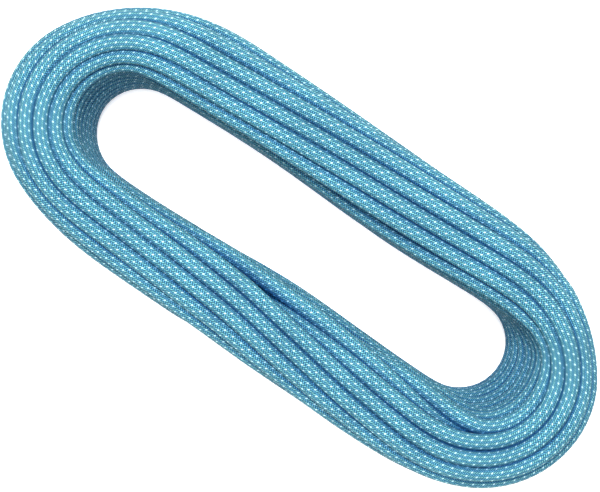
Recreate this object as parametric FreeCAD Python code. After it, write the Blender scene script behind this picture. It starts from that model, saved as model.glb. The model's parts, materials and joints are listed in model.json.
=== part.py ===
import FreeCAD, Part
import math
import os

# A single dynamic climbing rope, wound into an oval hank that lies flat on its underside.
# Frame: origin at the bottom centre of the hank, +X along it, +Z up. Millimetres.
# Both rope ends come out of the lower outside edge, one on each long side, and lie on the ground
# tucked against the turns. The turns all go the same way round, so the two ends are mirror images.

# Rope
ROPE_D = 9.8                # outside diameter of the sheath
SHEATH_WALL = 0.95          # braided sheath, measured through its yarns
CORE_STRANDS_IN = 3         # twisted strands in the middle of the core
CORE_STRANDS_OUT = 9        # twisted strands around them
STRAND_GAP = 0.06           # air between neighbouring strands
TAPE_THICK = 0.12           # identification tape between core and sheath
TAPE_FREE = 0.01            # air between tape and sheath
TAPE_ANGLE = 48.0           # width of that tape, as an angle about the rope's axis

# Hank, in plan
HANK_LENGTH = 400.0
HANK_WIDTH = 157.4
SIDE_STRAIGHT = 92.0        # half of the straight stretch of each long side
END_RADIUS = 62.0           # outer radius at the two ends
END_DROP = 5.0              # the two ends sag this far towards -Y
HOLE_LENGTH = 292.0
HOLE_RADIUS_LEFT = 28.7     # the hole is a little wider at its -X end
HOLE_RADIUS_RIGHT = 26.8
HOLE_CENTRE = (-5.6, 1.6)
HOLE_TURN = 1.3             # degrees, seen from above

# Hank, in section
HANK_HEIGHT = 94.0
TOP_ROUND = 20.0
FOOT_ROUND = 20.0

# Rope ends
CAP_LENGTH = 30.0           # heat-shrink sleeve
CAP_WALL = 0.35
CAP_OVERHANG = 1.2          # sleeve standing past the sealed face
BAND_LENGTH = 10.0          # printed film band beside the sleeve
BAND_WALL = 0.15
BAND_SPACE = 4.0            # bare sheath between band and sleeve
SEAL_THICK = 2.5            # melted plug that closes the core
GROUND_GAP = 0.05
SEAL_ROUND = 1.1            # dome on the plug's outer rim
FIT_GAP = 0.3               # room in the hank around a rope end
CAP_BED_SPARE = 30.0        # free room in the hank beyond a rope's end

ROPE_R = ROPE_D / 2
CORE_R = ROPE_R - SHEATH_WALL
CAP_R = ROPE_R + BAND_WALL + CAP_WALL
LIE = CAP_R + GROUND_GAP    # height of a rope end's axis above the ground

# Route of one rope end: out of the hank, down to the ground, then along the hank's side.
SETTLING = 0.4              # the rope is still this far off the ground at its first corner
EXIT = FreeCAD.Vector(98.0, -65.2, 13.5)
END_ROUTE = [
    EXIT,
    FreeCAD.Vector(52.0, -74.2, LIE + SETTLING),
    FreeCAD.Vector(-30.0, -75.5, LIE),
    FreeCAD.Vector(-111.0, -72.5, LIE),
]
STUB_LENGTH = 45.0          # rope inside the hank, behind the exit
BEND_SHARE = 0.45           # share of the shorter run that a bend may use up

FLAT = 0.01                 # edges this level count as lying flat

UP = FreeCAD.Vector(0, 0, 1)
ACROSS = FreeCAD.Vector(0, 1, 0)


def both_ends(solid):
    """The same solid at both rope ends."""
    return solid, solid.mirror(FreeCAD.Vector(), ACROSS)


def arc(centre, radius, start_deg, end_deg):
    """Arc in the ground plane, anticlockwise."""
    circle = Part.Circle(FreeCAD.Vector(centre[0], centre[1], 0), UP, radius)
    return Part.Arc(circle, math.radians(start_deg), math.radians(end_deg)).toShape()


def line(a, b):
    return Part.LineSegment(FreeCAD.Vector(*a), FreeCAD.Vector(*b)).toShape()


def outer_outline():
    """Oval with flat sides, wide shoulders and tighter ends."""
    half_y = HANK_WIDTH / 2
    run = HANK_LENGTH / 2 - SIDE_STRAIGHT
    end_x = HANK_LENGTH / 2 - END_RADIUS

    def shoulder(reach):
        """Radius and turn of an arc that is tangent to a flat side and to an end arc."""
        radius = (run ** 2 + reach ** 2 - 2 * run * END_RADIUS) / (2 * (reach - END_RADIUS))
        return radius, math.degrees(math.atan2(radius - reach, end_x - SIDE_STRAIGHT))

    upper, upper_turn = shoulder(half_y + END_DROP)
    lower, lower_turn = shoulder(half_y - END_DROP)
    edges = [
        arc((end_x, -END_DROP), END_RADIUS, -lower_turn, upper_turn),
        arc((SIDE_STRAIGHT, half_y - upper), upper, upper_turn, 90),
        line((SIDE_STRAIGHT, half_y, 0), (-SIDE_STRAIGHT, half_y, 0)),
        arc((-SIDE_STRAIGHT, half_y - upper), upper, 90, 180 - upper_turn),
        arc((-end_x, -END_DROP), END_RADIUS, 180 - upper_turn, 180 + lower_turn),
        arc((-SIDE_STRAIGHT, lower - half_y), lower, 180 + lower_turn, 270),
        line((-SIDE_STRAIGHT, -half_y, 0), (SIDE_STRAIGHT, -half_y, 0)),
        arc((SIDE_STRAIGHT, lower - half_y), lower, 270, 360 - lower_turn),
    ]
    print("outline: shoulder radii", round(upper, 1), round(lower, 1), "end radius", END_RADIUS)
    return Part.Wire(Part.__sortEdges__(edges))


def hole_outline():
    """Two end arcs of different radius, joined by the straight lines that touch both."""
    left_x = HOLE_RADIUS_LEFT - HOLE_LENGTH / 2
    right_x = HOLE_LENGTH / 2 - HOLE_RADIUS_RIGHT
    touch = math.degrees(math.acos((HOLE_RADIUS_LEFT - HOLE_RADIUS_RIGHT) / (right_x - left_x)))

    def rim(centre_x, radius, sign):
        angle = math.radians(touch)
        return centre_x + radius * math.cos(angle), sign * radius * math.sin(angle), 0

    edges = [
        arc((right_x, 0), HOLE_RADIUS_RIGHT, -touch, touch),
        line(rim(right_x, HOLE_RADIUS_RIGHT, 1), rim(left_x, HOLE_RADIUS_LEFT, 1)),
        arc((left_x, 0), HOLE_RADIUS_LEFT, touch, 360 - touch),
        line(rim(left_x, HOLE_RADIUS_LEFT, -1), rim(right_x, HOLE_RADIUS_RIGHT, -1)),
    ]
    outline = Part.Wire(Part.__sortEdges__(edges))
    outline.Placement = FreeCAD.Placement(
        FreeCAD.Vector(HOLE_CENTRE[0], HOLE_CENTRE[1], 0), FreeCAD.Rotation(UP, HOLE_TURN))
    return outline


def edges_at(shape, height):
    """Edges that lie flat at one height."""
    flat = []
    for edge in shape.Edges:
        box = edge.BoundBox
        if abs(box.ZMin - height) < FLAT and abs(box.ZMax - height) < FLAT:
            flat.append(edge)
    return flat


def end_path():
    """Straight runs joined by tangent arcs. Each arc is as large as its two runs allow."""
    edges = []
    here = END_ROUTE[0]
    for before, corner, after in zip(END_ROUTE, END_ROUTE[1:], END_ROUTE[2:]):
        run_in, run_out = corner - before, after - corner
        half_turn = run_in.getAngle(run_out) / 2
        shorter = min(run_in.Length, run_out.Length)
        back = BEND_SHARE * shorter
        radius = back / math.tan(half_turn)
        into = run_in.normalize()
        out = run_out.normalize()
        start, stop = corner - into * back, corner + out * back
        inward = (out - into).normalize()
        middle = corner + inward * (radius / math.cos(half_turn) - radius)
        edges.append(Part.LineSegment(here, start).toShape())
        edges.append(Part.Arc(start, middle, stop).toShape())
        print("bend radius", round(radius, 1), "turn", round(math.degrees(2 * half_turn), 1))
        here = stop
    edges.append(Part.LineSegment(here, END_ROUTE[-1]).toShape())
    return Part.Wire(edges)


def start_direction():
    return (END_ROUTE[1] - END_ROUTE[0]).normalize()


def last_direction():
    return (END_ROUTE[-1] - END_ROUTE[-2]).normalize()


def sweep(path, profile):
    """Solid of a closed profile carried along the path."""
    return path.makePipeShell([profile], True, False)


def round_bar(path, radius, across=0.0, turn_deg=0.0):
    """Round bar along the path, its axis moved sideways by across, in the direction turn_deg."""
    along = start_direction()
    side = along.cross(UP).normalize()
    above = side.cross(along)
    angle = math.radians(turn_deg)
    centre = EXIT + side * (across * math.cos(angle)) + above * (across * math.sin(angle))
    return sweep(path, Part.Wire(Part.makeCircle(radius, centre, along)))


def straight_ring(outer, inner, start, length):
    """Short tube on the last straight run; start is measured back from the rope's end face."""
    along = last_direction()
    place = END_ROUTE[-1] - along * start
    tube = Part.makeCylinder(outer, length, place, along)
    return tube.cut(Part.makeCylinder(inner, length, place, along))


def hank():
    """Outer shape of all the turns, with room for the two rope ends in its lower edge."""
    ring = Part.Face(outer_outline()).extrude(UP * HANK_HEIGHT)
    ring = ring.cut(Part.Face(hole_outline()).extrude(UP * HANK_HEIGHT))
    ring = ring.makeFillet(TOP_ROUND, edges_at(ring, HANK_HEIGHT))
    ring = ring.makeFillet(FOOT_ROUND, edges_at(ring, 0.0))
    path = end_path()
    bed = round_bar(path, ROPE_R + FIT_GAP)
    cap_bed_length = CAP_LENGTH + BAND_LENGTH + BAND_SPACE + FIT_GAP
    along = last_direction()
    cap_bed = Part.makeCylinder(
        CAP_R + FIT_GAP, cap_bed_length + CAP_BED_SPARE, END_ROUTE[-1] - along * cap_bed_length, along)
    stub = Part.makeCylinder(ROPE_R, STUB_LENGTH, EXIT, start_direction() * -1)
    for tool in both_ends(bed) + both_ends(cap_bed):
        ring = ring.cut(tool)
    for tool in both_ends(stub):
        ring = ring.fuse(tool)
    return ring.removeSplitter().Solids[0]


def sheath(path):
    outside = round_bar(path, ROPE_R)
    return outside.cut(round_bar(path, CORE_R))


def core_strands(path):
    """Strands as large as the core lets them be: a ring of nine around a ring of three."""
    outer_room = CORE_R - TAPE_THICK - STRAND_GAP
    sine = math.sin(math.pi / CORE_STRANDS_OUT)
    outer_r = outer_room * sine / (1 + sine) - STRAND_GAP / 2
    inner_room = outer_room - 2 * outer_r - STRAND_GAP
    sine = math.sin(math.pi / CORE_STRANDS_IN)
    inner_r = inner_room * sine / (1 + sine) - STRAND_GAP / 2
    print("strand radii", round(inner_r, 2), round(outer_r, 2))
    strands = []
    for index in range(CORE_STRANDS_IN):
        angle = 360 * index / CORE_STRANDS_IN
        strands.append(round_bar(path, inner_r, inner_room - inner_r, angle))
    for index in range(CORE_STRANDS_OUT):
        angle = 360 * (index + 0.5) / CORE_STRANDS_OUT
        strands.append(round_bar(path, outer_r, outer_room - outer_r, angle))
    return strands


def marker_tape(path):
    """Thin tape on the inside of the sheath, a slice of a very thin tube."""
    along = start_direction()
    side = along.cross(UP).normalize()
    above = side.cross(along)
    half = math.radians(TAPE_ANGLE / 2)
    outer, inner = CORE_R - TAPE_FREE, CORE_R - TAPE_THICK

    def at(radius, angle):
        return EXIT + side * (radius * math.cos(angle)) + above * (radius * math.sin(angle))

    edges = [
        Part.Arc(at(outer, -half), at(outer, 0), at(outer, half)).toShape(),
        Part.LineSegment(at(outer, half), at(inner, half)).toShape(),
        Part.Arc(at(inner, half), at(inner, 0), at(inner, -half)).toShape(),
        Part.LineSegment(at(inner, -half), at(outer, -half)).toShape(),
    ]
    return sweep(path, Part.Wire(edges))


def end_seal():
    """Melted plug against the cut face, a little domed."""
    along = last_direction()
    face = END_ROUTE[-1]
    disc = Part.makeCylinder(ROPE_R, SEAL_THICK, face, along)
    rim = [edge for edge in disc.Edges if (edge.CenterOfMass - face).dot(along) > 0.9 * SEAL_THICK]
    return disc.makeFillet(SEAL_ROUND, rim)


def end_cap():
    """Shrink sleeve over the end of the sheath and over the seal, with its edge left open."""
    length = CAP_LENGTH + SEAL_THICK + CAP_OVERHANG
    return straight_ring(CAP_R, ROPE_R, CAP_LENGTH, length)


def label_band():
    return straight_ring(
        ROPE_R + BAND_WALL, ROPE_R, CAP_LENGTH + BAND_SPACE + BAND_LENGTH, BAND_LENGTH)


def save(name, *solids):
    """One STEP file for each node; a node may hold the same piece at both rope ends."""
    for solid in solids:
        if not solid.isValid() or solid.ShapeType not in ("Solid", "Compound"):
            raise RuntimeError("bad solid in " + name)
    shape = solids[0] if len(solids) == 1 else Part.makeCompound(list(solids))
    shape.exportStep("parts/" + name + ".step")
    volume = sum(solid.Volume for solid in solids)
    box = shape.BoundBox
    print(name, "cm3", round(volume / 1000, 2), "z", round(box.ZMin, 2), round(box.ZMax, 2))


def main():
    os.makedirs("parts", exist_ok=True)
    path = end_path()
    save("rope_coil", hank())
    wall = sheath(path)
    section = math.pi * (ROPE_R ** 2 - CORE_R ** 2)
    print("sheath volume over section times length", round(wall.Volume / section / path.Length, 4))
    for mark, solid in zip("ab", both_ends(wall)):
        save("sheath_end_" + mark, solid)
    for number, strand in enumerate(core_strands(path), 1):
        save("core_strand_%02d" % number, *both_ends(strand))
    save("marker_tape", *both_ends(marker_tape(path)))
    for name, piece in (("end_seal", end_seal()), ("end_cap", end_cap()), ("label_band", label_band())):
        for mark, solid in zip("ab", both_ends(piece)):
            save(name + "_" + mark, solid)
    print("rope end length", round(path.Length, 1))


main()
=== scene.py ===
import json
import math
import bpy
import numpy as np
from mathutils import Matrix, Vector

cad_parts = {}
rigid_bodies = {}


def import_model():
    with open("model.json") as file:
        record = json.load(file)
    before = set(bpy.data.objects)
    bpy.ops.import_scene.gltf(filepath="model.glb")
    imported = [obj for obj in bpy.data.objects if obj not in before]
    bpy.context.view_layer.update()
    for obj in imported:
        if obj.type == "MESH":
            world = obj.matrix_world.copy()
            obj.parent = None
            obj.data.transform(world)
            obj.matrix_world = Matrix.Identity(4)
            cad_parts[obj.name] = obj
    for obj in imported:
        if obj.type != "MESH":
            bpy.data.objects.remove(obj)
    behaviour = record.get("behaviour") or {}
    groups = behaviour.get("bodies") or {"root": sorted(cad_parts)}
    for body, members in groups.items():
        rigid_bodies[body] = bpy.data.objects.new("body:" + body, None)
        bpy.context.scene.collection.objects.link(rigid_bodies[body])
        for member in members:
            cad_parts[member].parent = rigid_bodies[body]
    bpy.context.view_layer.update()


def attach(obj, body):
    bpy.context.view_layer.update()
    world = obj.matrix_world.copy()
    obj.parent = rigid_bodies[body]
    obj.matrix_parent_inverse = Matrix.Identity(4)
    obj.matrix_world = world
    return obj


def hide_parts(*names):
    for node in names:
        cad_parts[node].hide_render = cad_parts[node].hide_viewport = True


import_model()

scene = bpy.context.scene
mm = 0.001


# Straight down on the hank, turned so that its long side falls away to the right.
camera = {
    "height": 0.95,         # above the ground
    "turn": 34.59,          # degrees that the view is turned about its own axis
    "lens": 90.3,
    "sensor": 36,
    "aim": (-0.0024, -0.0038),
}


def addCamera():
    data = bpy.data.cameras.new("camera")
    data.lens = camera["lens"]
    data.sensor_width = camera["sensor"]
    ob = bpy.data.objects.new("camera", data)
    ob.location = (camera["aim"][0], camera["aim"][1], camera["height"])
    ob.rotation_euler = (0, 0, math.radians(camera["turn"]))
    scene.collection.objects.link(ob)
    scene.camera = ob
    print("camera added")


addCamera()


rope = {
    "diameter": 9.8 * mm,
    "length": 40.0,
    "sides": 12,
    "braidPitch": 35.3 * mm,        # one yarn's full turn round the rope
    "ringsPerPitch": 7,
    "lineSteps": 8,                 # points of its line between two of its route's points
    "twist": 0.35,                  # turns that the rope rolls either way along its length
    "twistWaves": ((1.9, 1.0, 0.0), (0.71, 0.6, 1.0)),      # each one's pace, share and start
    "plainRings": 9,
}

# One rope end in millimetres, from its tip on the ground to where it goes in among the turns.
# The other end is its mirror image across the hank.
endRoute = [
    (-111.0, -72.5, 5.45),
    (-30.0, -75.5, 5.45),
    (52.0, -74.2, 5.85),
    (98.0, -65.2, 13.5),
]

# The hank's shape in millimetres: a long round-ended hole, and turns stacked outwards from it.
hank = {
    "holeLength": 292.0,
    "holeLeft": 28.7,           # the hole's radius at its -X end, and at its +X end
    "holeRight": 26.8,
    "holeCentre": (-5.2, 1.1),
    "holeTurn": 1.3,            # degrees, seen from above
    "sideStraight": 92.0,       # half of the outside's straight side
    "halfWidth": 78.7,
    "halfLength": 199.0,
    "endRadius": 62.0,
    "endDrop": 9.0,             # the two ends sag this far towards -Y
    "height": 93.0,
    "topRound": 21.0,
    "footRound": 20.0,
    "sideSteps": 11,            # steps along each straight side
    "endSteps": 9,              # steps round each end
    "endLean": (4.0, 12.0),     # how far the hole's -X and +X end walls lean back towards the top
    "leanAlong": (125.0, 35.0),     # the lean starts this far out and is whole this much further
    "leanUp": (0.3, 0.5),       # and starts at this share of the height and takes this share of it
    "waveLower": (6.0, 200.0, 1.8),     # the hole's -Y side waves: a crest's x, wavelength, height
    "waveUpper": (36.0, 184.0, 1.3),    # and its +Y side
    "rows": (4, 5, 6, 5, 5, 5, 5, 5, 6, 5),
    "innerColumns": 3,          # of each row, wound on the way up
    "widestRow": 5.6,           # turn widths across the whole section
    "rowsUp": 0.93,             # share of the height that the rows' middles span
    "tallWhereNarrow": 0.45,    # millimetres of height for each one of missing width
    "packed": 9.5,              # distance between neighbouring turns, a little squashed
    "roll": 50.0,               # degrees that the bundle rolls over on its way round, and back
    "rollUp": (-0.09, 0.36),    # where it does so, as shares of one turn
    "rollDown": (0.40, 0.797),
    "cross": (0.119, 0.247),    # where each turn moves over to the next place
    "wander": 1.1,
    "wanderWaves": (0.37, 0.83, 1.61, 2.7),     # waves in one turn
    "seed": 11,
    "passes": 420,
    "pushes": 2,                # in each pass
    "pushShare": 0.35,          # of an overlap, taken by each of the two turns in one push
    "sink": 0.03,               # millimetres that every turn settles in a pass
    "sinkUntil": 0.6,           # share of the passes
    "hold": (0.02, 0.004, 0.7),         # pull back to its place: early, late, and when late starts
    "straighten": (0.5, 0.25, 0.8),     # pull towards a smooth line, in the same way
    "endReach": 6.0,            # stations this far past an end's tip still belong to the end
    "sideFacing": 0.995,        # stations that face this much sideways are on a straight side
    "lateShare": 0.9,           # the last tenth of a turn rolls with the next one
    "closest": 9.0,             # turns nearer than this are counted in the print
}


def smoothStep(x):
    x = np.clip(x, 0, 1)
    return x * x * (3 - 2 * x)


# Feet and outward directions round the hole, anticlockwise from the -X end of the -Y side
def stationFeet():
    h = hank
    left = h["holeLeft"] - h["holeLength"] / 2
    right = h["holeLength"] / 2 - h["holeRight"]
    touch = math.acos((h["holeLeft"] - h["holeRight"]) / (right - left))
    spots = []      # each as (centre, radius, angle)
    for sign, start, stop in ((-1, 0, 1), (1, 1, 0)):
        for i in range(h["sideSteps"]):
            t = start + (stop - start) * i / h["sideSteps"]
            radius = h["holeLeft"] + (h["holeRight"] - h["holeLeft"]) * t
            spots.append((left + (right - left) * t, radius, sign * touch))
        for i in range(h["endSteps"]):
            t = i / h["endSteps"]
            if sign < 0:
                spots.append((right, h["holeRight"], touch * (2 * t - 1)))
            else:
                spots.append((left, h["holeLeft"], touch + 2 * (math.pi - touch) * t))
    turn = math.radians(h["holeTurn"])
    feet, outs = [], []
    for centre, radius, angle in spots:
        x, y = centre + radius * math.cos(angle), radius * math.sin(angle)
        feet.append((x * math.cos(turn) - y * math.sin(turn) + h["holeCentre"][0],
                     x * math.sin(turn) + y * math.cos(turn) + h["holeCentre"][1]))
        outs.append((math.cos(angle + turn), math.sin(angle + turn)))
    return np.array(feet), np.array(outs)


# True inside the outer outline: flat sides, a wide arc at each shoulder and a tighter one at each end
def insideHank(x, y):
    h = hank
    drop = h["endDrop"] if y > -h["endDrop"] else -h["endDrop"]
    reach = h["halfWidth"] + drop
    run = h["halfLength"] - h["sideStraight"]
    shoulder = (run ** 2 + reach ** 2 - 2 * run * h["endRadius"]) / (2 * (reach - h["endRadius"]))
    endX = h["halfLength"] - h["endRadius"]
    low = reach - shoulder
    x, y = abs(x), abs(y + h["endDrop"])
    if x <= h["sideStraight"]:
        return y <= reach
    if x > endX and y / (x - endX) < -low / (endX - h["sideStraight"]):
        return math.hypot(x - endX, y) <= h["endRadius"]
    return math.hypot(x - h["sideStraight"], y - low) <= shoulder


# How far the turns reach outwards from the hole's edge, found by halving
def bundleWidth(foot, out):
    near, far = 0.0, hank["halfLength"]
    halvings = 24
    for _ in range(halvings):
        middle = (near + far) / 2
        if insideHank(foot[0] + out[0] * middle, foot[1] + out[1] * middle):
            near = middle
        else:
            far = middle
    return near


feet, outs = stationFeet()
stations = len(feet)
width = np.array([bundleWidth(f, o) for f, o in zip(feet, outs)])
middles = feet + outs * width[:, None] / 2
stepLengths = np.linalg.norm(np.roll(middles, -1, axis=0) - middles, axis=1)
share = np.concatenate([[0], np.cumsum(stepLengths)[:-1]]) / stepLengths.sum()
# narrow places stand taller, so every section has room for the same turns
sectionHeight = hank["height"] + hank["tallWhereNarrow"] * (width.mean() - width)


# Places in the section in the order they are wound, each as (across, up) from -1 to 1.
# It starts at the outside foot, climbs the inner half, crosses the top and comes down outside.
def windingOrder():
    rows, inner = hank["rows"], hank["innerColumns"]
    top = len(rows) - 1
    order = [(0, c) for c in reversed(range(rows[0]))]
    for r in range(1, top):
        order += [(r, c) for c in (range(inner) if r % 2 else reversed(range(inner)))]
    order += [(top, c) for c in range(rows[top])]
    for r in range(top - 1, 0, -1):
        columns = list(range(inner, rows[r]))
        order += [(r, c) for c in (columns if (top - r) % 2 else reversed(columns))]
    places = []
    for r, c in order:
        span = (rows[r] - 1) / hank["widestRow"]
        # rows of five lie half a turn to one side, then to the other
        shift = (0.5 if r % 2 else -0.5) / hank["widestRow"] if rows[r] == 5 else 0
        places.append((span * (2 * c / (rows[r] - 1) - 1) + shift, hank["rowsUp"] * (2 * r / top - 1)))
    return np.array(places)


# A rope end's place in the section over a foot
def endAt(foot):
    route = np.array(endRoute)
    across = -np.interp(foot[0], route[:, 0], route[:, 1]) - abs(foot[1])
    return across, np.interp(foot[0], route[:, 0], route[:, 2])


# Brings points back into the section: a box with round corners, leaning back at the ends
def keepInside(q, z, radius):
    h = hank
    tall = sectionHeight[None, :]
    leanStart, leanRun = h["leanAlong"]
    footShare, riseShare = h["leanUp"]
    lean = np.where(middles[:, 0] < 0, *h["endLean"])
    lean = lean * smoothStep((np.abs(middles[:, 0]) - leanStart) / leanRun)
    crest, length, height = np.where(outs[:, 1] > 0, *np.array([h["waveUpper"], h["waveLower"]])[:, :, None])
    wave = -height * np.cos(2 * math.pi * (feet[:, 0] - crest) / length) * np.abs(outs[:, 1])
    inner = wave[None, :] + lean[None, :] * smoothStep((z - footShare * tall) / (riseShare * tall))
    centre = (inner + width[None, :]) / 2
    halfQ, halfZ = (width[None, :] - inner) / 2 - radius, tall / 2 - radius
    corner = np.where(z > tall / 2, h["topRound"], h["footRound"]) - radius
    overQ = np.maximum(np.abs(q - centre) - (halfQ - corner), 0)
    overZ = np.maximum(np.abs(z - tall / 2) - (halfZ - corner), 0)
    far = np.hypot(overQ, overZ)
    outside = far > corner
    pull = np.where(outside, corner / np.maximum(far, 1e-9), 1)
    pulledQ = centre + np.sign(q - centre) * (halfQ - corner + overQ * pull)
    pulledZ = tall / 2 + np.sign(z - tall / 2) * (halfZ - corner + overZ * pull)
    newQ = np.where(outside & (overQ > 0), pulledQ, q)
    newZ = np.where(outside & (overZ > 0), pulledZ, z)
    return newQ, np.maximum(newZ, radius)


# Every turn's place at every station, pushed apart until they lie beside each other
def packTurns():
    h = hank
    places = windingOrder()
    last = len(places) - 1
    turn = np.arange(last + 1)
    move = smoothStep((share - h["cross"][0]) / (h["cross"][1] - h["cross"][0]))
    following = np.vstack([places[1:], places[-1:]])
    place = places[:, None] * (1 - move)[None, :, None] + following[:, None] * move[None, :, None]
    late = share - (share > h["lateShare"])
    rise = smoothStep((late - h["rollUp"][0]) / (h["rollUp"][1] - h["rollUp"][0]))
    fall = smoothStep((late - h["rollDown"][0]) / (h["rollDown"][1] - h["rollDown"][0]))
    roll = math.radians(h["roll"]) * (rise - fall)
    across = place[..., 0] * np.cos(roll) + place[..., 1] * np.sin(roll)
    up = place[..., 1] * np.cos(roll) - place[..., 0] * np.sin(roll)
    q = width / 2 * (1 + across)
    z = sectionHeight / 2 * (1 + up)
    # each turn wanders a little from its place, slowly along its length
    rng = np.random.default_rng(h["seed"])
    along = (turn[:, None] + share[None, :]) * 2 * math.pi
    for value in (q, z):
        for waves in h["wanderWaves"]:
            phase = rng.uniform(0, 2 * math.pi, (last + 1, 1))
            value += h["wander"] * np.sin(along * waves + phase)
    free = np.ones((last + 1, stations), bool)
    there = free.copy()
    held = []
    for j in range(stations):
        besideEnd = endRoute[0][0] - h["endReach"] < feet[j][0] < endRoute[-1][0]
        if abs(outs[j][1]) > h["sideFacing"] and besideEnd:
            end = 0 if outs[j][1] < 0 else last
            q[end, j], z[end, j] = endAt(feet[j])
            free[end, j] = False
            held.append(j)
    # before the first end's tip and after the second's there is no rope
    for end, beyond in ((0, slice(0, held[0])), (last, slice(held[-1] + 1, None))):
        there[end, beyond] = False
        free[end, beyond] = False
    aimQ, aimZ = q.copy(), z.copy()
    both = there[:, None] & there[None, :]
    both[turn, turn] = False
    radius = rope["diameter"] / mm / 2
    for step in range(h["passes"]):
        done = step / h["passes"]
        hold = h["hold"][0] if done < h["hold"][2] else h["hold"][1]
        straighten = h["straighten"][0] if done < h["straighten"][2] else h["straighten"][1]
        for value, aim in ((q, aimQ), (z, aimZ)):
            flat = value.reshape(-1)
            even = flat.copy()
            even[1:-1] = (flat[:-2] + flat[2:]) / 2
            moved = value + straighten * (even.reshape(value.shape) - value)
            moved += hold * (aim - moved)
            value[free] = moved[free]
        if done < h["sinkUntil"]:
            z[free] -= h["sink"]
        for _ in range(h["pushes"]):
            apartQ, apartZ = q[:, None] - q[None], z[:, None] - z[None]
            apart = np.sqrt(apartQ ** 2 + apartZ ** 2) + 1e-9
            push = np.where(both, np.maximum(h["packed"] - apart, 0), 0) / apart * h["pushShare"]
            newQ, newZ = keepInside(q + (push * apartQ).sum(1), z + (push * apartZ).sum(1), radius)
            q[free], z[free] = newQ[free], newZ[free]
    gaps = np.where(both, apart, np.inf).min(1)[there]
    tight = round((gaps < h["closest"]).mean(), 3)
    print("turns", last, "closest", round(gaps.min(), 2), "share too close", tight)
    return q, z, there, free


# The whole rope's control points in metres: one end, the turns, the other end
def routePoints():
    q, z, there, free = packTurns()
    xyz = np.stack([feet[:, 0] + outs[:, 0] * q, feet[:, 1] + outs[:, 1] * q, z], axis=-1)
    coil = xyz.reshape(-1, 3)[(free & there).reshape(-1)]
    start = np.array(endRoute)
    finish = start[::-1] * (1, -1, 1)
    return np.concatenate([start, coil, finish]) * mm


# Points along the smooth line that a curve draws through its control points
def splinePoints(name, points):
    curve = bpy.data.curves.new(name, "CURVE")
    curve.dimensions = "3D"
    curve.resolution_u = rope["lineSteps"]
    spline = curve.splines.new("NURBS")
    spline.points.add(len(points) - 1)
    for point, place in zip(spline.points, points):
        point.co = (*place, 1)
    spline.order_u = 3
    spline.use_endpoint_u = True
    ob = bpy.data.objects.new(name, curve)
    scene.collection.objects.link(ob)
    bpy.context.view_layer.update()
    mesh = bpy.data.meshes.new_from_object(ob)
    line = np.zeros(len(mesh.vertices) * 3)
    mesh.vertices.foreach_get("co", line)
    bpy.data.objects.remove(ob)
    bpy.data.meshes.remove(mesh)
    return line.reshape(-1, 3)


# The same line, cut into equal steps
def evenPoints(line, step):
    along = np.concatenate([[0], np.cumsum(np.linalg.norm(np.diff(line, axis=0), axis=1))])
    count = int(round(along[-1] / step))
    at = np.linspace(0, along[-1], count + 1)
    return np.stack([np.interp(at, along, line[:, i]) for i in range(3)], axis=1), along[-1]


ringStep = rope["braidPitch"] / rope["ringsPerPitch"]
ropeLine, ropeLength = evenPoints(splinePoints("ropeRoute", routePoints()), ringStep)
print("rope route", len(ropeLine), "rings,", round(ropeLength, 3), "m")


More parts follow.
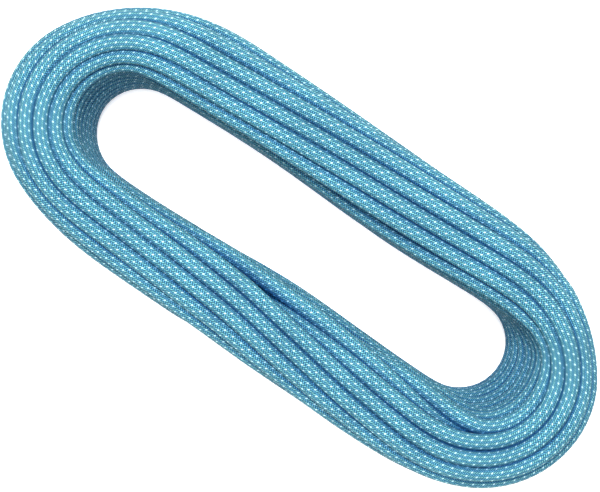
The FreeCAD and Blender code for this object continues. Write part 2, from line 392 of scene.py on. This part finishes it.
# One tube along the whole route. Its map runs once round the rope and once along each pitch.
def addRope():
    sides, rings = rope["sides"], len(ropeLine)
    along = np.gradient(ropeLine, axis=0)
    along /= np.linalg.norm(along, axis=1)[:, None]
    side = np.cross(along, (0, 0, 1))
    side /= np.linalg.norm(side, axis=1)[:, None]
    up = np.cross(side, along)
    metres = np.linspace(0, ropeLength, rings)
    rolling = sum(part * np.sin(metres * pace + start) for pace, part, start in rope["twistWaves"])
    twist = 2 * math.pi * rope["twist"] * rolling
    angles = np.arange(sides)[None, :] * 2 * math.pi / sides + twist[:, None]
    # between the circle's points the sides fall inside it, so the points stand a little outside
    radius = rope["diameter"] / 2 * 2 / (1 + math.cos(math.pi / sides))
    offset = np.cos(angles)[..., None] * side[:, None] + np.sin(angles)[..., None] * up[:, None]
    points = (ropeLine[:, None] + radius * offset).reshape(-1, 3)
    ring = np.arange(rings - 1)[:, None] * sides
    one = np.arange(sides)[None, :]
    two = (one + 1) % sides
    faces = np.stack([ring + one, ring + two, ring + sides + two, ring + sides + one], axis=-1).reshape(-1, 4)
    ends = [list(reversed(range(sides))), list(range((rings - 1) * sides, rings * sides))]
    mesh = bpy.data.meshes.new("rope")
    mesh.from_pydata(points.tolist(), [], faces[:, ::-1].tolist() + [list(reversed(e)) for e in ends])
    layer = mesh.uv_layers.new(name="weave")
    perPitch = rope["ringsPerPitch"]
    tile = (np.arange(rings - 1) % perPitch) / perPitch
    low, high = np.broadcast_arrays(tile[:, None], tile[:, None] + 1 / perPitch)
    left = np.broadcast_to(one / sides, (rings - 1, sides))
    right = left + 1 / sides
    low, high = np.broadcast_to(low, left.shape), np.broadcast_to(high, left.shape)
    corners = np.stack([left, high, right, high, right, low, left, low], axis=-1).reshape(-1)
    caps = np.zeros(2 * 2 * sides)
    layer.data.foreach_set("uv", np.concatenate([corners, caps]))
    # the export bakes through a map of this name, so the weave comes out as one tile for every pitch
    copy = mesh.uv_layers.new(name="OFBake")
    copy.data.foreach_set("uv", np.concatenate([corners, caps]))
    layer.active_render = True
    mesh.validate()
    # The last rings, mostly under a sleeve and a band, get the braid's colours with no painted crevice shade
    # and an even tone in place of the slow cloudy change. They are what the export's tile shows.
    plain = np.zeros(rings * sides)
    plain[-rope["plainRings"] * sides:] = 1
    mesh.attributes.new("plain", "FLOAT", "POINT").data.foreach_set("value", plain)
    ob = bpy.data.objects.new("rope", mesh)
    scene.collection.objects.link(ob)
    bpy.ops.object.select_all(action="DESELECT")
    ob.select_set(True)
    bpy.context.view_layer.objects.active = ob
    bpy.ops.object.mode_set(mode="EDIT")
    bpy.ops.mesh.select_all(action="SELECT")
    bpy.ops.mesh.normals_make_consistent(inside=False)
    bpy.ops.object.mode_set(mode="OBJECT")
    bpy.ops.object.shade_smooth()
    print("rope made,", len(mesh.polygons), "faces")
    return ob


ropePiece = addRope()
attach(ropePiece, "root")
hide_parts("rope_coil", "sheath_end_a", "sheath_end_b")


# Round pieces at the rope's ends: (along, radius) in millimetres, measured from the rope's end face.
turned = {
    "sides": 40,
    "creaseAngle": 32,
    # shrunk sleeve: thin back edge, faint rings where it gripped the braid, lip curled over the seal
    "endCap": [(-30.0, 4.92), (-29.95, 5.12), (-29.7, 5.28), (-29.0, 5.36), (-25.2, 5.38), (-24.7, 5.31),
               (-24.2, 5.39), (-18.4, 5.4), (-17.9, 5.33), (-17.4, 5.4), (-9.6, 5.4), (-9.0, 5.32),
               (-8.4, 5.4), (-1.6, 5.4), (-0.6, 5.33), (1.4, 5.36), (2.6, 5.33), (3.2, 5.2), (3.6, 4.92),
               (3.7, 4.6), (3.55, 4.35), (3.2, 4.28), (2.85, 4.4), (2.65, 4.86), (2.4, 4.9), (-29.9, 4.9)],
    # film wrapped once round, edges pressed down
    "labelBand": [(-44.0, 4.91), (-43.97, 5.0), (-43.8, 5.05), (-34.2, 5.05), (-34.03, 5.0), (-34.0, 4.91)],
    # melted plug, domed, with the dimple that is left as it cools
    "endSeal": [(0.05, 4.88), (0.5, 4.88), (1.4, 4.82), (1.9, 4.55), (2.25, 4.0), (2.45, 3.2), (2.5, 2.4),
                (2.42, 1.6), (2.2, 0.9), (2.05, 0.35)],
}


# Lathes one piece and lays it on the end of the rope. side is -1 or 1, the rope end's side of the hank.
def addTurned(name, kind, side, hollow):
    profile = turned[kind]
    bpy.ops.object.select_all(action="DESELECT")
    bpy.ops.mesh.primitive_circle_add(vertices=turned["sides"], radius=profile[0][1] * mm,
                                      location=(0, 0, 0), fill_type="NOTHING")
    ob = bpy.context.object
    ob.name = name
    bpy.ops.object.mode_set(mode="EDIT")
    bpy.ops.mesh.select_mode(type="EDGE")
    bpy.ops.mesh.select_all(action="SELECT")
    bpy.ops.transform.translate(value=(0, 0, profile[0][0] * mm))
    for (along, radius), (nextAlong, nextRadius) in zip(profile, profile[1:]):
        bpy.ops.mesh.extrude_edges_move(TRANSFORM_OT_translate={"value": (0, 0, (nextAlong - along) * mm)})
        grow = nextRadius / radius
        bpy.ops.transform.resize(value=(grow, grow, 1), center_override=(0, 0, nextAlong * mm))
    if hollow:
        bpy.ops.mesh.select_all(action="DESELECT")
        bpy.ops.mesh.select_non_manifold()
        bpy.ops.mesh.bridge_edge_loops()
    else:
        bpy.ops.mesh.select_all(action="SELECT")
        bpy.ops.mesh.fill_holes(sides=0)
    bpy.ops.mesh.select_all(action="SELECT")
    bpy.ops.mesh.normals_make_consistent(inside=False)
    bpy.ops.object.mode_set(mode="OBJECT")
    tip, before = [Vector(place) * mm for place in endRoute[:2]]
    tip.y *= -side
    before.y *= -side
    ob.location = tip
    ob.rotation_mode = "QUATERNION"
    ob.rotation_quaternion = (tip - before).to_track_quat("Z", "Y")
    bpy.ops.object.transform_apply(location=True, rotation=True, scale=True)
    bpy.ops.object.shade_smooth_by_angle(angle=math.radians(turned["creaseAngle"]))
    return ob


def newMaterial(name):
    material = bpy.data.materials.new(name)
    material.use_nodes = True
    nodes = material.node_tree.nodes
    return material, nodes, material.node_tree.links, nodes["Principled BSDF"]


# One Math node. Each input is another node's output or a plain number.
def calc(material, kind, a, b=None):
    tree = material.node_tree
    node = tree.nodes.new("ShaderNodeMath")
    node.operation = kind
    for socket, value in zip(node.inputs, (a, b)):
        if value is None:
            continue
        if isinstance(value, (int, float)):
            socket.default_value = value
        else:
            tree.links.new(value, socket)
    return node.outputs[0]


def mixColour(material, amount, first, second, blend="MIX"):
    tree = material.node_tree
    node = tree.nodes.new("ShaderNodeMix")
    node.data_type = "RGBA"
    node.blend_type = blend
    for name, value in (("Factor", amount), ("A", first), ("B", second)):
        socket = node.inputs[name]
        if isinstance(value, (tuple, float, int)):
            socket.default_value = (*value, 1) if isinstance(value, tuple) else value
        else:
            tree.links.new(value, socket)
    return node.outputs["Result"]


sheath = {
    "carriers": 24,                             # yarns each way round
    "green": (0.24, 0.68, 0.68),                # yarns that run one way
    "blue": (0.13, 0.49, 0.68),                 # and the other way
    "paintedGapShade": (0.001, 0.02, 0.07),                 # painted shade down between the yarns
    "fleck": (0.60, 0.97, 1.0),
    "paintedCreviceShade": (0.0, 0.19, 0.50),             # painted shade, a darker and bluer colour where turns lie against each other
    "paintedShadeReach": 40 * mm,
    "paintedShadePower": 1.7,
    "flecksEvery": 4,
    "fleckEnds": 0.7,                           # how short a fleck is within its float
    "fleckFill": 0.85,                          # how far it hides the gaps beside it
    "roundness": 3.0,                           # of a yarn's section
    "floatEnds": 0.45,                          # how abruptly a yarn dives under the next
    "threads": 4,                               # single threads across a yarn
    "threadShade": 0.07,
    "threadLift": 0.05,
    "yarnShade": 0.22,                          # change of shade from yarn to yarn
    "cloudShade": 0.5,                          # and slowly along the rope
    "cloudScale": 38,
    "cloudDetail": 2,
    "shadeFrom": 0.64,                          # the darkest shade
    "bump": 1.0,
    "depth": 0.5 * mm,
    "roughness": 0.75,
    "gloss": 0.12,
}


# Two-over-two braid worked out from the rope's map, with a white yarn every few carriers
def sheathMaterial():
    s = sheath
    material, nodes, links, shader = newMaterial("braidedSheath")

    def m(kind, a, b=None):
        return calc(material, kind, a, b)

    uv = nodes.new("ShaderNodeUVMap")
    uv.uv_map = "weave"
    split = nodes.new("ShaderNodeSeparateXYZ")
    links.new(uv.outputs[0], split.inputs[0])
    n = s["carriers"]
    a = m("MULTIPLY", m("SUBTRACT", split.outputs["X"], split.outputs["Y"]), n)
    b = m("MULTIPLY", m("ADD", split.outputs["X"], split.outputs["Y"]), n)
    i, j = m("FLOOR", a), m("FLOOR", b)
    fa, fb = m("FRACT", a), m("FRACT", b)
    turn = m("FLOORED_MODULO", m("ADD", i, j), 4)
    onTop = m("LESS_THAN", turn, 1.5)
    # how far along its float each yarn is, and how far across
    alongS = m("DIVIDE", m("FLOORED_MODULO", m("ADD", i, b), 4), 2)
    alongZ = m("SUBTRACT", m("DIVIDE", m("FLOORED_MODULO", m("ADD", a, j), 4), 2), 1)

    def stitch(across, along):
        rounded = m("POWER", m("SINE", m("MULTIPLY", across, math.pi)), s["roundness"])
        lift = m("MAXIMUM", m("SINE", m("MULTIPLY", along, math.pi)), 0.0)
        return m("MULTIPLY", rounded, m("POWER", lift, s["floatEnds"]))

    stitchS, stitchZ = stitch(fa, alongS), stitch(fb, alongZ)
    pick = nodes.new("ShaderNodeMix")
    links.new(onTop, pick.inputs["Factor"])
    links.new(stitchZ, pick.inputs["A"])
    links.new(stitchS, pick.inputs["B"])
    height = pick.outputs["Result"]
    # yarns of single threads, lying along each yarn
    threadsS = m("SINE", m("MULTIPLY", fa, 2 * math.pi * s["threads"]))
    threadsZ = m("SINE", m("MULTIPLY", fb, 2 * math.pi * s["threads"]))
    threads = nodes.new("ShaderNodeMix")
    links.new(onTop, threads.inputs["Factor"])
    links.new(threadsZ, threads.inputs["A"])
    links.new(threadsS, threads.inputs["B"])
    whiteYarn = m("LESS_THAN", m("FLOORED_MODULO", i, s["flecksEvery"]), 0.5)
    middle = m("POWER", m("MAXIMUM", m("SINE", m("MULTIPLY", alongS, math.pi)), 0.0), s["fleckEnds"])
    fleck = m("MULTIPLY", m("MULTIPLY", onTop, whiteYarn), middle)
    # slow change of shade along the rope, and a little from yarn to yarn
    place = nodes.new("ShaderNodeTexCoord")
    cloud = nodes.new("ShaderNodeTexNoise")
    cloud.inputs["Scale"].default_value = s["cloudScale"]
    cloud.inputs["Detail"].default_value = s["cloudDetail"]
    links.new(place.outputs["Object"], cloud.inputs["Vector"])
    plain = nodes.new("ShaderNodeAttribute")
    plain.attribute_name = "plain"
    clouds = nodes.new("ShaderNodeMix")
    clouds.inputs["B"].default_value = 0.5
    links.new(plain.outputs["Fac"], clouds.inputs["Factor"])
    links.new(cloud.outputs["Fac"], clouds.inputs["A"])
    yarnShade = nodes.new("ShaderNodeTexWhiteNoise")
    yarnShade.noise_dimensions = "2D"
    pair = nodes.new("ShaderNodeCombineXYZ")
    links.new(m("FLOORED_MODULO", i, n), pair.inputs["X"])
    links.new(m("FLOORED_MODULO", j, n), pair.inputs["Y"])
    links.new(pair.outputs[0], yarnShade.inputs["Vector"])
    yarns = mixColour(material, onTop, s["blue"], s["green"])
    yarns = mixColour(material, fleck, yarns, s["fleck"])
    shade = m("ADD", m("MULTIPLY", yarnShade.outputs["Value"], s["yarnShade"]),
              m("MULTIPLY", clouds.outputs["Result"], s["cloudShade"]))
    shade = m("ADD", shade, m("MULTIPLY", threads.outputs["Result"], s["threadShade"]))
    toned = nodes.new("ShaderNodeHueSaturation")
    links.new(yarns, toned.inputs["Color"])
    links.new(m("ADD", shade, s["shadeFrom"]), toned.inputs["Value"])
    # a white yarn is fuller, so less of the painted gap shade shows beside it
    filled = m("POWER", height, m("SUBTRACT", 1.0, m("MULTIPLY", fleck, s["fleckFill"])))
    # painted shade: where a yarn's rounded section and float ends fall away, the colour goes to the dark gap
    # colour
    colour = mixColour(material, filled, s["paintedGapShade"], toned.outputs["Color"])
    # painted shade: crevices between turns, found by ambient occlusion, are made darker and bluer in the
    # colour
    paintedShadeAO = nodes.new("ShaderNodeAmbientOcclusion")
    paintedShadeAO.inputs["Distance"].default_value = s["paintedShadeReach"]
    unshadedShare = m("MAXIMUM", m("POWER", paintedShadeAO.outputs["AO"], s["paintedShadePower"]), plain.outputs["Fac"])
    shadeTint = mixColour(material, unshadedShare, s["paintedCreviceShade"], (1.0, 1.0, 1.0))
    colour = mixColour(material, 1.0, colour, shadeTint, "MULTIPLY")
    links.new(colour, shader.inputs["Base Color"])
    bump = nodes.new("ShaderNodeBump")
    bump.inputs["Strength"].default_value = s["bump"]
    bump.inputs["Distance"].default_value = s["depth"]
    lift = m("ADD", height, m("MULTIPLY", threads.outputs["Result"], s["threadLift"]))
    links.new(lift, bump.inputs["Height"])
    links.new(bump.outputs["Normal"], shader.inputs["Normal"])
    shader.inputs["Roughness"].default_value = s["roughness"]
    shader.inputs["Specular IOR Level"].default_value = s["gloss"]
    print("sheath material made")
    return material


ropePiece.data.materials.append(sheathMaterial())


# name: (colour, second colour, roughness, how large the cloudy change is, bump in millimetres)
plastics = {
    "shrinkSleeve": ((0.012, 0.014, 0.018), (0.03, 0.034, 0.042), 0.36, 420, 0.05),
    "meltedEnd": ((0.02, 0.09, 0.14), (0.10, 0.26, 0.32), 0.24, 700, 0.16),
    "coreStrand": ((0.80, 0.79, 0.74), (0.92, 0.91, 0.88), 0.72, 900, 0.1),
    "markerTape": ((0.72, 0.62, 0.10), (0.80, 0.72, 0.20), 0.45, 300, 0.01),
}
cloudFineness = 3
bumpStrength = 0.6


# Plain plastic whose colour and surface change a little from place to place
def plasticMaterial(name):
    first, second, roughness, scale, bumpDepth = plastics[name]
    material, nodes, links, shader = newMaterial(name)
    place = nodes.new("ShaderNodeTexCoord")
    cloud = nodes.new("ShaderNodeTexNoise")
    cloud.inputs["Scale"].default_value = scale
    cloud.inputs["Detail"].default_value = cloudFineness
    links.new(place.outputs["Object"], cloud.inputs["Vector"])
    links.new(mixColour(material, cloud.outputs["Fac"], first, second), shader.inputs["Base Color"])
    bump = nodes.new("ShaderNodeBump")
    bump.inputs["Strength"].default_value = bumpStrength
    bump.inputs["Distance"].default_value = bumpDepth * mm
    links.new(cloud.outputs["Fac"], bump.inputs["Height"])
    links.new(bump.outputs["Normal"], shader.inputs["Normal"])
    shader.inputs["Roughness"].default_value = roughness
    return material


band = {
    "film": (0.86, 0.88, 0.88),
    "stripes": (0.02, 0.22, 0.42),
    "stripeEdges": ((0.12, 0.24), (0.76, 0.88)),     # along the band, from 0 to 1
    "roughness": 0.28,
}


# Pale film with a plain stripe near each edge
def bandMaterial():
    material, nodes, links, shader = newMaterial("labelFilm")
    place = nodes.new("ShaderNodeTexCoord")
    split = nodes.new("ShaderNodeSeparateXYZ")
    links.new(place.outputs["Generated"], split.inputs[0])
    stripes = 0.0
    for low, high in band["stripeEdges"]:
        inside = calc(material, "MULTIPLY", calc(material, "GREATER_THAN", split.outputs["X"], low),
                      calc(material, "LESS_THAN", split.outputs["X"], high))
        stripes = calc(material, "ADD", inside, stripes)
    links.new(mixColour(material, stripes, band["film"], band["stripes"]), shader.inputs["Base Color"])
    shader.inputs["Roughness"].default_value = band["roughness"]
    return material


def fillSlots(ob, material):
    if not ob.material_slots:
        ob.data.materials.append(material)
    for place in ob.material_slots:
        place.material = material


sleeveMaterial, sealMaterial = plasticMaterial("shrinkSleeve"), plasticMaterial("meltedEnd")
filmMaterial = bandMaterial()
for letter, side in (("A", 1), ("B", -1)):
    for kind, node, hollow, material, slotName in (
            ("endCap", "end_cap_", True, sleeveMaterial, "shrink_sleeve"),
            ("endSeal", "end_seal_", False, sealMaterial, "fused_nylon"),
            ("labelBand", "label_band_", True, filmMaterial, "label_film")):
        piece = addTurned(kind + letter, kind, side, hollow)
        piece.data.materials.append(material)
        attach(piece, "root")
        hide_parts(node + letter.lower())
print("rope end pieces made")

strandMaterial = plasticMaterial("coreStrand")
for number in range(1, 13):
    fillSlots(bpy.data.objects["core_strand_%02d" % number], strandMaterial)
fillSlots(bpy.data.objects["marker_tape"], plasticMaterial("markerTape"))
print("core materials made")


stage = {
    "floorSize": 24,
    "floorColour": (0.95, 0.95, 0.95, 1),
    "floorRoughness": 0.9,
    "floorGlow": 0.35,
    "worldStrength": 0.22,
}


def addFloor():
    bpy.ops.mesh.primitive_plane_add(size=stage["floorSize"], location=(0, 0, 0))
    floor = bpy.context.object
    floor.name = "floor"
    material, _, _, shader = newMaterial("paleFloor")
    shader.inputs["Base Color"].default_value = stage["floorColour"]
    shader.inputs["Roughness"].default_value = stage["floorRoughness"]
    shader.inputs["Emission Color"].default_value = (1, 1, 1, 1)
    shader.inputs["Emission Strength"].default_value = stage["floorGlow"]
    floor.data.materials.append(material)


lights = {
    # name: (place, size, watts)
    "keySoftbox": ((-0.3, 0.3, 1.5), 0.5, 48),
    "fillSoftbox": ((0.7, -0.4, 1.4), 0.7, 8),
    "topSoftbox": ((0.0, 0.0, 2.2), 0.7, 33),
}


def addLights():
    for name, (place, size, watts) in lights.items():
        data = bpy.data.lights.new(name, "AREA")
        data.size = size
        data.energy = watts
        ob = bpy.data.objects.new(name, data)
        ob.location = place
        ob.rotation_euler = Vector(place).to_track_quat("Z", "Y").to_euler()
        scene.collection.objects.link(ob)
    world = bpy.data.worlds.new("studio")
    world.use_nodes = True
    background = world.node_tree.nodes["Background"]
    background.inputs["Color"].default_value = (1, 1, 1, 1)
    background.inputs["Strength"].default_value = stage["worldStrength"]
    scene.world = world
    scene.view_settings.view_transform = "Standard"
    print("floor and lights added")


addFloor()
addLights()
